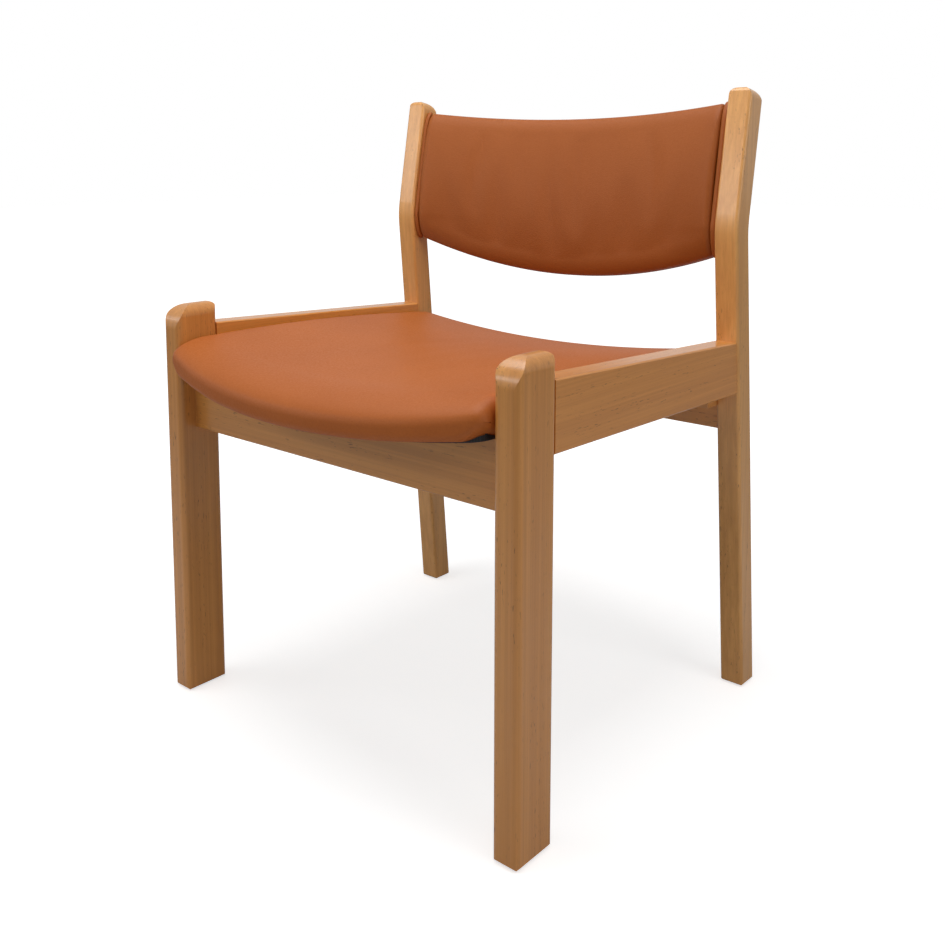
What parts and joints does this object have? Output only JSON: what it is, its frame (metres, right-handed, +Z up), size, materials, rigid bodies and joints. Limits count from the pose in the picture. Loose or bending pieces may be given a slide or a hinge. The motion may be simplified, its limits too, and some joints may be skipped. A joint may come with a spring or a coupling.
{
  "type": "side chair",
  "caption": "Static side chair with a solid wood frame, a dished leather seat set between the side rails and a curved leather back rest.",
  "frame": {"origin": "on the floor, at the middle of the chair's width and depth", "axes": "+X to the chair's right-hand side as seen from in front, +Y from the front to the back, +Z up"},
  "size_m": [0.546, 0.5522, 0.7471],
  "materials": {
    "beech": "beech, satin clear lacquer, fine dark flecks along the grain",
    "plywood": "moulded beech plywood, unfinished",
    "leather": "tan brown, fine grain, soft sheen",
    "foam": "cut polyurethane foam, hidden by the leather",
    "lining": "black non-woven dust cloth",
    "steel": "zinc plated",
    "glide": "brown nylon"
  },
  "bodies": {
    "root": {"front_leg_left": "beech", "front_leg_right": "beech", "rear_leg_left": "beech", "rear_leg_right": "beech", "side_rail_left": "beech", "side_rail_right": "beech", "front_rail": "beech", "rear_rail": "beech", "seat_batten_left": "beech", "seat_batten_right": "beech", "seat_batten_front": "beech", "seat_batten_rear": "beech", "seat_board": "plywood", "seat_foam": "foam", "seat_cover": "leather", "seat_underlining": "lining", "back_board": "plywood", "back_foam": "foam", "back_front_cover": "leather", "back_rear_cover": "leather", "back_stile_left": "beech", "back_stile_right": "beech", "back_strip_left": "leather", "back_strip_right": "leather", "front_rail_dowels": "beech", "rear_rail_dowels": "beech", "side_rail_dowels_left": "beech", "side_rail_dowels_right": "beech", "back_dowels": "beech", "batten_screws": "steel", "seat_screws": "steel", "glide_front_left": "glide", "glide_front_right": "glide", "glide_rear_left": "glide", "glide_rear_right": "glide"}
  },
  "joints": []
}
